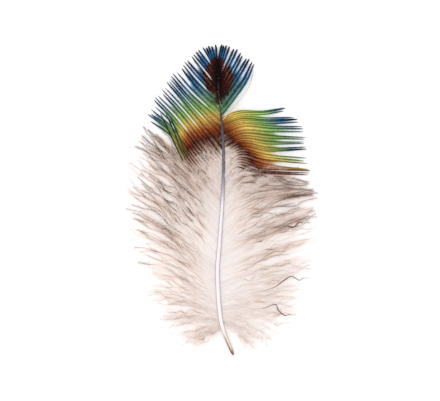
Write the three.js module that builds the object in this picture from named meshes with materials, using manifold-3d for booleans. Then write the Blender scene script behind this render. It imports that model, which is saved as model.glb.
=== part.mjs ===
// A peacock's body feather, lying face up on a flat surface.
// Millimetres, +Z up. The tip points along +Y and the quill along -Y. The origin is on the
// surface, below the middle of the feather.
import * as THREE from "three";
import { mergeVertices } from "three/addons/utils/BufferGeometryUtils.js";
import Module from "manifold-3d";

const wasm = await Module();
wasm.setup();

// Shaft: its run from the quill's cut end to its fine tip, and its thickness along the way
const SHAFT_RUN = [
  [3.2, -40.2],
  [0.1, -31.7],
  [-0.9, -19.7],
  [-0.4, -11.1],
  [0.3, -1.2],
  [0.7, 9.2],
  [0.4, 17.5],
  [-0.4, 25.8],
  [-1.0, 34.9],
];
const SHAFT_HEIGHTS = [0.42, 0.9, 1.55, 1.85, 2.0, 2.0, 1.85, 1.5, 1.05];
const SHAFT_RADII = [0.42, 0.62, 0.64, 0.6, 0.52, 0.46, 0.36, 0.22, 0.12];
const SHAFT_SIDES = 10;
const SHAFT_STEPS = 40;
// Share of the shaft to which a barb's seat is found
const SEAT_PRECISION = 1e-6;

// Clear space between pieces that lie against each other
const SEAT_GAP = 0.25;
// Parting of the two sides: how far it runs on past the shaft, its lean there and its half height
const PARTING_LENGTH = 7;
const PARTING_LEAN = 0.3;
const PARTING_HEIGHT = 12;

// Barbs that lead each side. A barb leaves the shaft at the level `seat` along Y, runs by two
// points and ends at its tip.
const LEFT_VANE_BARBS = [
  { seat: 33.9, by: [[-1.3, 36.0], [-1.6, 38.1]], tip: [-1.9, 40.2] },
  { seat: 31.3, by: [[-2.5, 34.8], [-4.0, 37.1]], tip: [-5.5, 39.2] },
  { seat: 26.6, by: [[-3.6, 29.7], [-6.2, 32.6]], tip: [-9.0, 36.1] },
  { seat: 19.3, by: [[-3.9, 23.2], [-8.2, 27.4]], tip: [-12.2, 32.3] },
  { seat: 10.5, by: [[-4.4, 17.2], [-9.2, 23.1]], tip: [-14.6, 29.0] },
  { seat: 4.0, by: [[-6.5, 12.5], [-12.0, 19.8]], tip: [-17.2, 25.2] },
  { seat: -0.7, by: [[-8.1, 9.2], [-13.0, 16.6]], tip: [-18.6, 20.6] },
];
const RIGHT_TIP_BARBS = [
  { seat: 33.9, by: [[-0.6, 36.0], [-0.2, 38.1]], tip: [0.1, 40.4] },
  { seat: 31.8, by: [[0.3, 34.9], [1.3, 37.5]], tip: [2.2, 39.9] },
  { seat: 28.7, by: [[1.4, 32.6], [3.2, 35.9]], tip: [4.5, 38.7] },
  { seat: 25.3, by: [[2.5, 29.7], [4.8, 33.6]], tip: [6.5, 36.7] },
  { seat: 21.6, by: [[3.4, 26.1], [6.5, 30.7]], tip: [8.5, 35.5] },
];
const RIGHT_SIDE_BARBS = [
  { seat: 20.5, by: [[3.4, 22.7], [9.1, 23.5]], tip: [16.4, 23.8] },
  { seat: 19.0, by: [[4.9, 21.5], [11.7, 21.2]], tip: [20.0, 20.5] },
  { seat: 17.0, by: [[5.7, 19.3], [12.7, 18.5]], tip: [20.8, 18.4] },
  { seat: 14.6, by: [[5.7, 16.8], [12.7, 16.2]], tip: [21.6, 16.3] },
  { seat: 12.0, by: [[5.5, 14.4], [12.7, 13.4]], tip: [22.1, 12.9] },
  { seat: 8.9, by: [[4.9, 12.3], [11.7, 11.6]], tip: [21.8, 10.3] },
  { seat: 5.8, by: [[4.9, 9.7], [12.2, 8.2]], tip: [22.6, 7.3] },
];
const LEFT_DOWN_BARBS = [
  { seat: -3.4, by: [[-6.0, 4.0], [-12.2, 11.4]], tip: [-19.3, 18.0] },
  { seat: -6.6, by: [[-5.9, 0.3], [-12.2, 7.6]], tip: [-21.0, 14.6] },
  { seat: -10.3, by: [[-6.3, -3.6], [-13.0, 3.6]], tip: [-22.3, 10.6] },
  { seat: -15.0, by: [[-7.0, -8.3], [-14.2, -1.2]], tip: [-23.6, 5.4] },
  { seat: -19.4, by: [[-7.5, -13.2], [-14.8, -6.7]], tip: [-24.5, -1.2] },
  { seat: -23.3, by: [[-7.3, -17.6], [-14.3, -12.4]], tip: [-23.7, -8.3] },
  { seat: -26.7, by: [[-7.0, -22.6], [-13.8, -18.7]], tip: [-21.8, -16.1] },
  { seat: -29.3, by: [[-6.5, -26.5], [-12.7, -24.6]], tip: [-19.2, -23.6] },
  { seat: -31.1, by: [[-5.5, -30.4], [-10.7, -30.1]], tip: [-16.6, -30.6] },
  { seat: -32.7, by: [[-3.4, -33.2], [-6.5, -34.8]], tip: [-9.9, -37.1] },
];
const RIGHT_DOWN_BARBS = [
  { seat: 1.2, by: [[5.4, 5.4], [12.4, 6.0]], tip: [22.0, 5.4] },
  { seat: -3.6, by: [[5.0, 1.4], [12.2, 3.6]], tip: [23.2, 3.6] },
  { seat: -8.5, by: [[6.3, -3.4], [14.0, -0.2]], tip: [24.2, 1.6] },
  { seat: -12.4, by: [[7.0, -8.0], [15.2, -4.6]], tip: [24.6, -2.0] },
  { seat: -16.3, by: [[7.5, -12.7], [15.9, -9.3]], tip: [24.5, -6.6] },
  { seat: -20.0, by: [[7.5, -16.8], [15.6, -14.2]], tip: [24.0, -12.0] },
  { seat: -23.3, by: [[7.5, -21.0], [15.3, -19.4]], tip: [22.9, -17.8] },
  { seat: -26.5, by: [[7.0, -25.2], [14.3, -24.6]], tip: [20.5, -24.0] },
  { seat: -29.1, by: [[6.5, -28.5], [12.7, -29.3]], tip: [19.5, -30.1] },
  { seat: -31.1, by: [[5.7, -32.4], [9.6, -34.5]], tip: [13.5, -36.6] },
];

// Two kinds of lock. `spread` is a lock's width over the space to its neighbours, at the root,
// halfway and at the tip. `thickness` is its height at the same three places, `tipHeight` is how high
// the tip lies, and `crown` is how much the middle rises.
const VANE = {
  spread: [1.3, 1.22, 0.72],
  thickness: [0.8, 0.7, 0.45],
  tipHeight: 0.1,
  crown: 0.3,
  sides: 4,
  steps: 6,
};
const DOWN = {
  spread: [1.45, 1.4, 0.85],
  thickness: [1.6, 3.3, 1.3],
  tipHeight: 0.4,
  crown: 0.05,
  sides: 6,
  steps: 6,
};
// Most space between two lock lines that a lock still closes
const WIDEST_SPACE = 2.6;
// How late a lock droops from the shaft to its tip, and how late it draws in to a point
const DROOP_POWER = 1.4;
const POINT_POWER = 5;

// Each side of the feather: its leading barbs, its kind of lock, how many locks and its colour
const SIDES = {
  left_vane: { barbs: LEFT_VANE_BARBS, kind: VANE, locks: 15, colour: 0x4b7d53, roughness: 0.45 },
  right_tip_vane: { barbs: RIGHT_TIP_BARBS, kind: VANE, locks: 9, colour: 0x395c81, roughness: 0.45 },
  right_side_vane: { barbs: RIGHT_SIDE_BARBS, kind: VANE, locks: 11, colour: 0xbc993c, roughness: 0.45 },
  left_down: { barbs: LEFT_DOWN_BARBS, kind: DOWN, locks: 15, colour: 0xd1bfb4, roughness: 0.9 },
  right_down: { barbs: RIGHT_DOWN_BARBS, kind: DOWN, locks: 15, colour: 0xcab7ac, roughness: 0.9 },
};
const SHAFT_FINISH = { colour: 0xece1e0, roughness: 0.4 };

// Surface that the feather lies on: what would reach below it is pressed flat
const FLOOR_SIZE = 120;
const FLOOR_DEPTH = 20;

const UP = new THREE.Vector3(0, 0, 1);

const shaftLine = new THREE.CatmullRomCurve3(
  SHAFT_RUN.map(([x, y], i) => new THREE.Vector3(x, y, SHAFT_HEIGHTS[i])),
);

// Reads a row of values, evenly spaced along 0 to 1, at the place u.
function readRow(row, u) {
  const place = THREE.MathUtils.clamp(u, 0, 1) * (row.length - 1);
  const i = Math.min(Math.floor(place), row.length - 2);
  return THREE.MathUtils.lerp(row[i], row[i + 1], place - i);
}

// The point of the shaft at a level along Y, found by halving.
function shaftPoint(level) {
  let low = 0;
  let high = 1;
  while (high - low > SEAT_PRECISION) {
    const middle = (low + high) / 2;
    if (shaftLine.getPoint(middle).y < level) low = middle;
    else high = middle;
  }
  return shaftLine.getPoint(low);
}

// Turns a closed geometry into a solid that can be joined and cut.
function toSolid(geometry) {
  geometry.deleteAttribute("normal");
  geometry.deleteAttribute("uv");
  const merged = mergeVertices(geometry);
  return new wasm.Manifold(
    new wasm.Mesh({
      numProp: 3,
      vertProperties: merged.attributes.position.array,
      triVerts: new Uint32Array(merged.index.array),
    }),
  );
}

// Turns a solid back into a geometry.
function toGeometry(solid) {
  const mesh = solid.getMesh();
  const geometry = new THREE.BufferGeometry();
  geometry.setAttribute("position", new THREE.BufferAttribute(mesh.vertProperties, 3));
  geometry.setIndex(new THREE.BufferAttribute(mesh.triVerts, 1));
  geometry.computeVertexNormals();
  return geometry;
}

// Bends a unit cone or cylinder that stands along Y so that it follows a line. `halfWidth` and
// `halfHeight` are functions of the place u along the line, from 0 to 1.
function sweep(geometry, line, halfWidth, halfHeight) {
  const position = geometry.attributes.position;
  const unit = geometry.parameters;
  const side = new THREE.Vector3();
  const above = new THREE.Vector3();
  for (let i = 0; i < position.count; i++) {
    const u = THREE.MathUtils.clamp(position.getY(i) + 0.5, 0, 1);
    const radius = THREE.MathUtils.lerp(unit.radiusBottom, unit.radiusTop, u) || 1;
    const across = position.getX(i) / radius;
    const upwards = position.getZ(i) / radius;
    const along = line.getTangent(u);
    side.crossVectors(along, UP).normalize();
    above.crossVectors(side, along);
    const point = line.getPoint(u);
    point.addScaledVector(side, across * halfWidth(u));
    point.addScaledVector(above, upwards * halfHeight(u));
    position.setXYZ(i, point.x, point.y, point.z);
  }
  return geometry;
}

// The shaft as a solid.
function shaftSolid() {
  const radius = (u) => readRow(SHAFT_RADII, u);
  const rod = new THREE.CylinderGeometry(1, 1, 1, SHAFT_SIDES, SHAFT_STEPS);
  return toSolid(sweep(rod, shaftLine, radius, radius));
}

// The upright space between the two sides: it follows the shaft, and runs on past its tip.
function partingSolid() {
  const end = shaftLine.points.at(-1);
  const beyond = new THREE.Vector3(end.x + PARTING_LEAN, end.y + PARTING_LENGTH, end.z);
  const line = new THREE.CatmullRomCurve3([...shaftLine.points, beyond]);
  const radii = [...SHAFT_RADII, 0];
  const wall = new THREE.CylinderGeometry(1, 1, 1, SHAFT_SIDES, SHAFT_STEPS);
  return toSolid(sweep(wall, line, (u) => readRow(radii, u) + SEAT_GAP, () => PARTING_HEIGHT));
}

// The points of a leading barb: its root on the shaft, the two points that it runs by, and its tip.
function barbPoints({ seat, by, tip }) {
  return [shaftPoint(seat), ...[...by, tip].map(([x, y]) => new THREE.Vector3(x, y, 0))];
}

// The line of a lock that lies at `place` among the leading barbs, from 0 to their last index.
function lockLine(barbs, place, kind) {
  const i = Math.min(Math.floor(place), barbs.length - 2);
  const before = barbPoints(barbs[i]);
  const after = barbPoints(barbs[i + 1]);
  const points = before.map((point, j) => point.clone().lerp(after[j], place - i));
  const rootHeight = points[0].z;
  points.forEach((point, j) => {
    const u = j / (points.length - 1);
    const droop = THREE.MathUtils.lerp(rootHeight, kind.tipHeight, Math.pow(u, DROOP_POWER));
    point.z = droop + kind.crown * Math.sin(Math.PI * u);
  });
  return new THREE.CatmullRomCurve3(points);
}

// The lines of all the locks of one side.
function lockLines({ barbs, kind, locks }) {
  const last = barbs.length - 1;
  return Array.from({ length: locks }, (_, i) => lockLine(barbs, (i / (locks - 1)) * last, kind));
}

// One lock as a solid: a flattened cone along its line, as wide as the space to its neighbours asks.
function lockSolid(lines, i, kind, margin) {
  const line = lines[i];
  const neighbours = [lines[i - 1], lines[i + 1]].filter(Boolean);
  const space = (u) => {
    const gaps = neighbours.map((other) => other.getPoint(u).distanceTo(line.getPoint(u)));
    return Math.min(WIDEST_SPACE, gaps.reduce((sum, gap) => sum + gap, 0) / gaps.length);
  };
  const taper = (u) => Math.sqrt(Math.max(0, 1 - Math.pow(u, POINT_POWER)));
  const halfWidth = (u) => (space(u) * readRow(kind.spread, u) * taper(u)) / 2 + margin;
  const halfHeight = (u) => (readRow(kind.thickness, u) * taper(u)) / 2 + margin;
  const cone = new THREE.CylinderGeometry(0, 1, 1, kind.sides, kind.steps);
  return toSolid(sweep(cone, line, halfWidth, halfHeight));
}

// The largest body of a solid, without the slivers that a cut leaves across the shaft.
function mainBody(solid) {
  return solid.decompose().reduce((best, body) => (body.volume() > best.volume() ? body : best));
}

// One side of the feather: its locks joined, with the floor and the given spaces cut away.
function sideSolid(side, spaces) {
  const lines = lockLines(side);
  const joined = lines
    .map((_, i) => lockSolid(lines, i, side.kind, 0))
    .reduce((all, lock) => all.add(lock));
  return mainBody(spaces.reduce((rest, space) => rest.subtract(space), joined));
}

// The space that the last lock of a side keeps clear of the side next to it.
function lastLockSpace(side) {
  const lines = lockLines(side);
  return lockSolid(lines, lines.length - 1, side.kind, SEAT_GAP);
}

function makeMesh(name, geometry, { colour, roughness }) {
  const material = new THREE.MeshStandardMaterial({ color: colour, roughness, metalness: 0 });
  const mesh = new THREE.Mesh(geometry, material);
  mesh.name = name;
  return mesh;
}

const floorBox = new THREE.BoxGeometry(FLOOR_SIZE, FLOOR_SIZE, FLOOR_DEPTH);
floorBox.translate(0, 0, -FLOOR_DEPTH / 2);
const floor = toSolid(floorBox);
const parting = partingSolid();

const spaces = {
  left_vane: [floor, parting],
  right_tip_vane: [floor, parting],
  right_side_vane: [floor, parting, lastLockSpace(SIDES.right_tip_vane)],
  left_down: [floor, parting, lastLockSpace(SIDES.left_vane)],
  right_down: [floor, parting, lastLockSpace(SIDES.right_side_vane)],
};

const feather = new THREE.Group();
feather.name = "peacock_body_feather";
feather.add(makeMesh("shaft", toGeometry(shaftSolid().subtract(floor)), SHAFT_FINISH));
for (const [name, side] of Object.entries(SIDES)) {
  feather.add(makeMesh(name, toGeometry(sideSolid(side, spaces[name])), side));
}

export default feather;
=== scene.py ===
"""A peacock's body feather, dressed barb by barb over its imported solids.

The feather lies face up on a pale floor: a horn shaft, three coloured vanes at the tip and loose
down on both sides below. Lengths are written in millimetres and scaled by MM, because the frame is
in metres. +Y runs along the shaft towards the tip and +Z is up.
"""
from __future__ import annotations

import logging
import math
from collections.abc import Sequence
from dataclasses import dataclass, field
from enum import Enum

import bpy
import numpy as np
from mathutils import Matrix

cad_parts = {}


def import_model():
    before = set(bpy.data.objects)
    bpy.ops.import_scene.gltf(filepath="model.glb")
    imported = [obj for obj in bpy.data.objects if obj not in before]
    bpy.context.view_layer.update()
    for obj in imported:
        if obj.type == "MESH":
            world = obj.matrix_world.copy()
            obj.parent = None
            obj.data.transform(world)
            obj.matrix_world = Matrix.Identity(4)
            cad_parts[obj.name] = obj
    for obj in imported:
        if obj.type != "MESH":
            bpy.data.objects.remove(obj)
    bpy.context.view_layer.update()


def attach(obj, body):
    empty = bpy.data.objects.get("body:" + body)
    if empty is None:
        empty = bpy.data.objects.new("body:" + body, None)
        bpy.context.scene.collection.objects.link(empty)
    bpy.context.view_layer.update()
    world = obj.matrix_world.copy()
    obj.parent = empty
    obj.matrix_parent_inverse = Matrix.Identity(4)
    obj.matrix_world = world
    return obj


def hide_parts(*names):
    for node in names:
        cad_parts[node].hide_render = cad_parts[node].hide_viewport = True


LOG = logging.getLogger("peacock_feather")

MM = 0.001
BODY = "root"
BAKE_MAP = "OFBake"

# The picture's width in pixels, and the real width that one of them covers on the floor
PICTURE_WIDTH = 440
MM_PER_PIXEL = 0.26

# Points of the shaft's middle line, its height above the floor and its radius, from quill to tip
SHAFT_RUN = (
    (3.2, -40.2), (0.1, -31.7), (-0.9, -19.7), (-0.4, -11.1), (0.3, -1.2),
    (0.7, 9.2), (0.4, 17.5), (-0.4, 25.8), (-1.0, 34.9),
)
SHAFT_HEIGHTS = (0.42, 0.9, 1.55, 1.85, 2.0, 2.0, 1.85, 1.5, 1.05)
SHAFT_RADII = (0.42, 0.62, 0.64, 0.6, 0.52, 0.46, 0.36, 0.22, 0.12)

# How late a barb droops from the shaft to its tip
DROOP_POWER = 1.4

Array = np.ndarray


class Slot(Enum):
    """The pieces' material slots."""

    HORN = "horn"
    IRIDESCENT = "iridescent_barbs"
    DOWN = "downy_barbs"


class Tone(Enum):
    """The colours that a coloured barb passes through from root to tip.

    Each holds the hex values of the barb's stem and of its barbules.
    """

    PALE = ("#e2cfc6", "#f4e7e0")
    BROWN = ("#4a2216", "#c9a792")
    MAROON = ("#2c0a05", "#5e1a0b")
    RUST = ("#662710", "#c26c30")
    GOLD = ("#a2812e", "#efd67a")
    GREEN = ("#3c6e34", "#b0ce74")
    BLUE = ("#0a294a", "#327db2")
    NAVY = ("#04060a", "#1c3450")


def linear_colour(code: str) -> tuple[float, float, float, float]:
    """Turn a hex colour into a linear one.

    Args:
        code: A colour such as "#c08f34".

    Returns:
        Red, green, blue and alpha for a shader socket.
    """
    parts = [int(code[i:i + 2], 16) / 255 for i in (1, 3, 5)]
    red, green, blue = (p / 12.92 if p <= 0.04045 else ((p + 0.055) / 1.055) ** 2.4 for p in parts)
    return red, green, blue, 1.0


def smooth_line(points: Array, count: int) -> Array:
    """Run a smooth line through points.

    Args:
        points: Control points as rows.
        count: Number of points wanted.

    Returns:
        The line's points as rows, evenly spaced in the control points' own numbering.
    """
    first = 2 * points[0] - points[1]
    last = 2 * points[-1] - points[-2]
    padded = np.vstack([first, points, last])
    place = np.linspace(0, len(points) - 1, count)
    i = np.minimum(place.astype(int), len(points) - 2)
    t = (place - i)[:, None]
    a, b, c, d = (padded[i + k] for k in range(4))
    return 0.5 * (2 * b + (c - a) * t + (2 * a - 5 * b + 4 * c - d) * t**2
                  + (3 * b - a - 3 * c + d) * t**3)


def unit(vectors: Array) -> Array:
    """Scale vectors, held along the last axis, to a length of 1."""
    return vectors / np.linalg.norm(vectors, axis=-1, keepdims=True)


def ease(share: Array) -> Array:
    """Smooth a share that runs from 0 to 1 at both its ends."""
    return share * share * (3 - 2 * share)


def carry(mesh: bpy.types.Mesh, values: dict[str, Array]) -> None:
    """Store named values on a mesh's points.

    Args:
        mesh: The mesh.
        values: Arrays of one number for each point.
    """
    for key, value in values.items():
        layer = mesh.attributes.new(key, "FLOAT", "POINT")
        layer.data.foreach_set("value", np.ascontiguousarray(value, dtype=np.float32).ravel())


def place_object(name: str, data: bpy.types.ID) -> bpy.types.Object:
    """Put a new object in the scene.

    Args:
        name: The object's name.
        data: Its mesh, lamp or camera.

    Returns:
        The object.
    """
    item = bpy.data.objects.new(name, data)
    bpy.context.scene.collection.objects.link(item)
    return item


class ShaftLine:
    """The shaft's middle line, where every barb has its seat."""

    STEPS = 400

    def __init__(self) -> None:
        """Sample the line."""
        self.points = smooth_line(np.column_stack([np.array(SHAFT_RUN), SHAFT_HEIGHTS]), self.STEPS)

    def seat(self, level: float) -> Array:
        """Give the point of the shaft at a level along Y, in millimetres."""
        return np.array([np.interp(level, self.points[:, 1], self.points[:, k]) for k in range(3)])


SHAFT_LINE = ShaftLine()


@dataclass(frozen=True)
class LeadBarb:
    """A barb that leads its neighbours.

    Attributes:
        seat: Level along Y at which it leaves the shaft.
        by: Two points that it runs by.
        tip: Its end.
        shades: For a coloured barb, the place along it where each Tone is reached. For down, how
            dark it is near the root, two thirds along and at the tip.
    """

    seat: float
    by: tuple[tuple[float, float], tuple[float, float]]
    tip: tuple[float, float]
    shades: tuple[float, ...]

    def control(self, tip_height: float, crown: float) -> Array:
        """Place the barb's four control points.

        Args:
            tip_height: Height of the tip above the floor.
            crown: How much the middle rises.

        Returns:
            Four rows of X, Y and Z in millimetres.
        """
        root = SHAFT_LINE.seat(self.seat)
        flat = np.array([root[:2], *self.by, self.tip])
        u = np.linspace(0, 1, len(flat))
        height = root[2] + (tip_height - root[2]) * u**DROOP_POWER + crown * np.sin(np.pi * u)
        return np.column_stack([flat, height])


@dataclass(frozen=True)
class LooseBarb:
    """A barb that has slipped out of its row.

    Attributes:
        points: Four points that it runs through.
        shades: The place along it where each Tone is reached.
        reach: Length of its barbules.
        tone: How light it is, 0.5 being plain.
    """

    points: tuple[tuple[float, float, float], ...]
    shades: tuple[float, ...]
    reach: float = 0.55
    tone: float = -1.1


@dataclass(frozen=True)
class EyeSpot:
    """The dark teardrop at the feather's tip.

    Attributes:
        foot: Its lower end.
        head: Its upper end.
        half_width: Half its width at the widest.
        bias: Above 1, the widest place lies nearer to the head.
    """

    THINNEST = 1e-6

    foot: tuple[float, float] = (-0.26, 24.4)
    head: tuple[float, float] = (-1.04, 37.5)
    half_width: float = 4.4
    bias: float = 1.1

    def depth(self, x: Array, y: Array) -> Array:
        """Measure how deep points lie in the teardrop.

        Args:
            x: X in millimetres.
            y: Y in millimetres.

        Returns:
            0 at its edge and outside, 1 on its middle line.
        """
        v = np.clip((y - self.foot[1]) / (self.head[1] - self.foot[1]), 0, 1)
        middle = self.foot[0] + (self.head[0] - self.foot[0]) * v
        width = self.half_width * np.sin(np.pi * v**self.bias) + self.THINNEST
        return np.clip(1 - np.abs(x - middle) / width, 0, 1)


LEFT_VANE_LEADS = (
    LeadBarb(34.2, ((-1.15, 36.0), (-1.2, 38.1)), (-1.4, 40.3), (-9, -7, -5, -4, -3, -1.5, 0.2, 1.1)),
    LeadBarb(31.3, ((-2.5, 34.8), (-4.0, 37.1)), (-5.5, 39.2), (-7, -5, -4, -3, -2, -0.7, 0.4, 1.1)),
    LeadBarb(26.6, ((-3.6, 29.7), (-6.2, 32.6)), (-9.0, 36.1),
             (-3, -2.2, -1.5, -1, -0.8, -0.3, 0.5, 1.1)),
    LeadBarb(19.3, ((-3.9, 23.2), (-8.2, 27.4)), (-12.2, 32.3),
             (-0.5, -0.3, -0.12, 0.02, 0.22, 0.38, 0.76, 1.1)),
    LeadBarb(10.5, ((-4.4, 17.2), (-9.2, 23.1)), (-14.6, 29.0),
             (0.05, 0.15, 0.28, 0.39, 0.5, 0.65, 0.88, 1.1)),
    LeadBarb(4.0, ((-6.5, 12.5), (-12.0, 19.8)), (-17.2, 25.2),
             (0.16, 0.28, 0.4, 0.49, 0.56, 0.66, 0.92, 1.12)),
    LeadBarb(-0.7, ((-8.1, 9.2), (-13.0, 16.6)), (-18.6, 20.6),
             (0.24, 0.34, 0.42, 0.48, 0.54, 0.64, 0.95, 1.15)),
)
LEFT_VANE_LOOSE = (
    LooseBarb(((-9.2, 10.6, 1.9), (-10.8, 14.2, 2.0), (-12.3, 18.2, 1.7), (-14.2, 22.6, 1.3)),
              (-0.9, -0.7, -0.5, -0.3, 0.0, 0.24, 1.2, 1.5)),
    LooseBarb(((-8.6, 11.2, 2.0), (-10.0, 14.6, 2.2), (-11.6, 18.2, 1.9), (-13.2, 21.9, 1.5)),
              (-0.9, -0.7, -0.5, -0.3, -0.04, 0.2, 1.2, 1.5)),
    LooseBarb(((-9.8, 10.2, 1.8), (-11.5, 13.6, 1.9), (-13.4, 17.6, 1.5), (-15.7, 22.4, 1.0)),
              (-0.9, -0.7, -0.5, -0.3, 0.05, 0.3, 1.3, 1.6)),
)
RIGHT_TIP_LEADS = (
    LeadBarb(34.2, ((-0.75, 36.0), (-0.4, 38.2)), (0.0, 40.4), (-9, -7, -5, -4, -3, -1.5, 0.3, 1.1)),
    LeadBarb(31.8, ((0.3, 34.9), (1.3, 37.5)), (2.2, 39.9), (-7, -5, -4, -3, -2, -0.8, 0.35, 1.1)),
    LeadBarb(28.7, ((1.4, 32.6), (3.2, 35.9)), (4.5, 38.7), (-5, -4, -3, -2, -1, -0.4, 0.45, 1.1)),
    LeadBarb(25.3, ((2.5, 29.7), (4.8, 33.6)), (6.5, 36.7),
             (-3, -2.2, -1.6, -1.2, -0.8, -0.3, 0.55, 1.1)),
    LeadBarb(21.6, ((3.4, 26.1), (6.5, 30.7)), (8.5, 35.5),
             (-2.2, -1.8, -1.5, -1.2, -0.8, -0.35, 0.75, 1.1)),
)
RIGHT_TIP_LOOSE = (
    LooseBarb(((0.2, 20.5, 1.7), (4.1, 25.0, 1.5), (7.2, 29.6, 1.1), (8.3, 33.8, 0.7)),
              (0.9, 1.6, 2, 2.4, 2.8, 3.2, 3.6, 4), 0.6, 0.5),
)
RIGHT_SIDE_LEADS = (
    LeadBarb(21.1, ((4.4, 22.9), (10.7, 22.9)), (16.3, 23.8),
             (-0.6, -0.4, -0.25, -0.1, 0.12, 0.6, 0.92, 1.1)),
    LeadBarb(20.2, ((4.9, 21.9), (11.2, 22.1)), (16.4, 22.8),
             (-0.5, -0.33, -0.2, -0.05, 0.2, 0.6, 0.95, 1.1)),
    LeadBarb(19.4, ((5.5, 21.0), (12.2, 20.7)), (19.4, 21.1),
             (-0.4, -0.28, -0.15, 0.0, 0.26, 0.5, 0.74, 0.96)),
    LeadBarb(18.4, ((5.7, 20.1), (12.7, 19.8)), (19.9, 20.1),
             (-0.3, -0.2, -0.1, 0.06, 0.3, 0.54, 0.8, 1.0)),
    LeadBarb(17.0, ((5.7, 19.0), (12.7, 18.5)), (20.9, 18.4),
             (-0.2, -0.08, 0.04, 0.13, 0.33, 0.6, 1.05, 1.3)),
    LeadBarb(15.0, ((5.7, 17.2), (12.7, 16.7)), (21.5, 16.3),
             (-0.08, 0.02, 0.11, 0.18, 0.4, 0.68, 1.2, 1.5)),
    LeadBarb(13.6, ((5.7, 15.9), (12.7, 15.1)), (21.5, 15.0),
             (0.0, 0.09, 0.18, 0.26, 0.48, 0.72, 1.2, 1.5)),
    LeadBarb(12.4, ((5.5, 14.7), (12.7, 13.6)), (21.8, 14.0),
             (0.08, 0.16, 0.25, 0.34, 0.53, 0.72, 0.88, 0.96)),
    LeadBarb(11.4, ((5.2, 13.8), (12.7, 12.5)), (22.0, 12.8),
             (0.12, 0.2, 0.3, 0.4, 0.58, 0.76, 0.88, 0.96)),
    LeadBarb(9.2, ((4.9, 12.5), (12.2, 11.2)), (21.7, 10.3),
             (0.18, 0.3, 0.42, 0.51, 0.63, 0.93, 1.3, 1.5)),
    LeadBarb(7.4, ((4.7, 11.0), (11.4, 9.4)), (22.4, 8.1),
             (0.22, 0.36, 0.5, 0.62, 0.95, 1.3, 1.6, 1.9)),
    LeadBarb(5.8, ((4.4, 9.7), (10.7, 8.0)), (22.9, 7.5), (0.24, 0.4, 0.58, 0.85, 1.4, 1.7, 2, 2.3)),
    LeadBarb(4.8, ((3.9, 8.4), (9.1, 7.1)), (22.3, 6.3), (0.25, 0.45, 0.7, 1.1, 1.7, 2, 2.3, 2.6)),
)
LEFT_DOWN_LEADS = (
    LeadBarb(9.5, ((-1.2, 12.6), (-2.9, 15.2)), (-4.9, 17.2), (0.1, 0.23, 0.37)),
    LeadBarb(4.8, ((-1.7, 9.0), (-4.0, 12.6)), (-7.2, 15.0), (0.06, 0.15, 0.36)),
    LeadBarb(1.2, ((-2.8, 6.2), (-6.4, 10.9)), (-11.0, 14.6), (0.05, 0.2, 0.46)),
    LeadBarb(-1.2, ((-3.5, 4.2), (-8.3, 9.6)), (-15.0, 17.4), (0.04, 0.34, 0.46)),
    LeadBarb(-3.4, ((-6.0, 4.0), (-12.2, 11.4)), (-19.7, 18.9), (0.05, 0.36, 0.5)),
    LeadBarb(-6.6, ((-5.9, 0.3), (-12.2, 7.6)), (-21.0, 14.6), (0.04, 0.4, 0.62)),
    LeadBarb(-10.3, ((-6.3, -3.6), (-13.0, 3.6)), (-22.3, 10.6), (0.03, 0.36, 0.58)),
    LeadBarb(-15.0, ((-7.0, -8.3), (-14.2, -1.2)), (-23.6, 5.4), (0.03, 0.34, 0.5)),
    LeadBarb(-19.4, ((-7.5, -13.2), (-14.8, -6.7)), (-24.5, -1.2), (0.03, 0.27, 0.34)),
    LeadBarb(-23.3, ((-7.3, -17.6), (-14.3, -12.4)), (-23.7, -8.3), (0.05, 0.27, 0.24)),
    LeadBarb(-26.7, ((-7.0, -22.6), (-13.8, -18.7)), (-21.8, -16.1), (0.06, 0.24, 0.15)),
    LeadBarb(-29.3, ((-6.5, -26.5), (-12.7, -24.6)), (-19.2, -23.6), (0.1, 0.21, 0.11)),
    LeadBarb(-31.1, ((-5.5, -30.4), (-10.7, -30.1)), (-16.6, -30.6), (0.14, 0.17, 0.08)),
    LeadBarb(-32.4, ((-3.4, -33.2), (-6.8, -34.8)), (-10.6, -37.0), (0.12, 0.15, 0.08)),
    LeadBarb(-33.2, ((-1.8, -35.0), (-3.6, -37.0)), (-5.6, -39.4), (0.2, 0.22, 0.1)),
)
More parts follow.
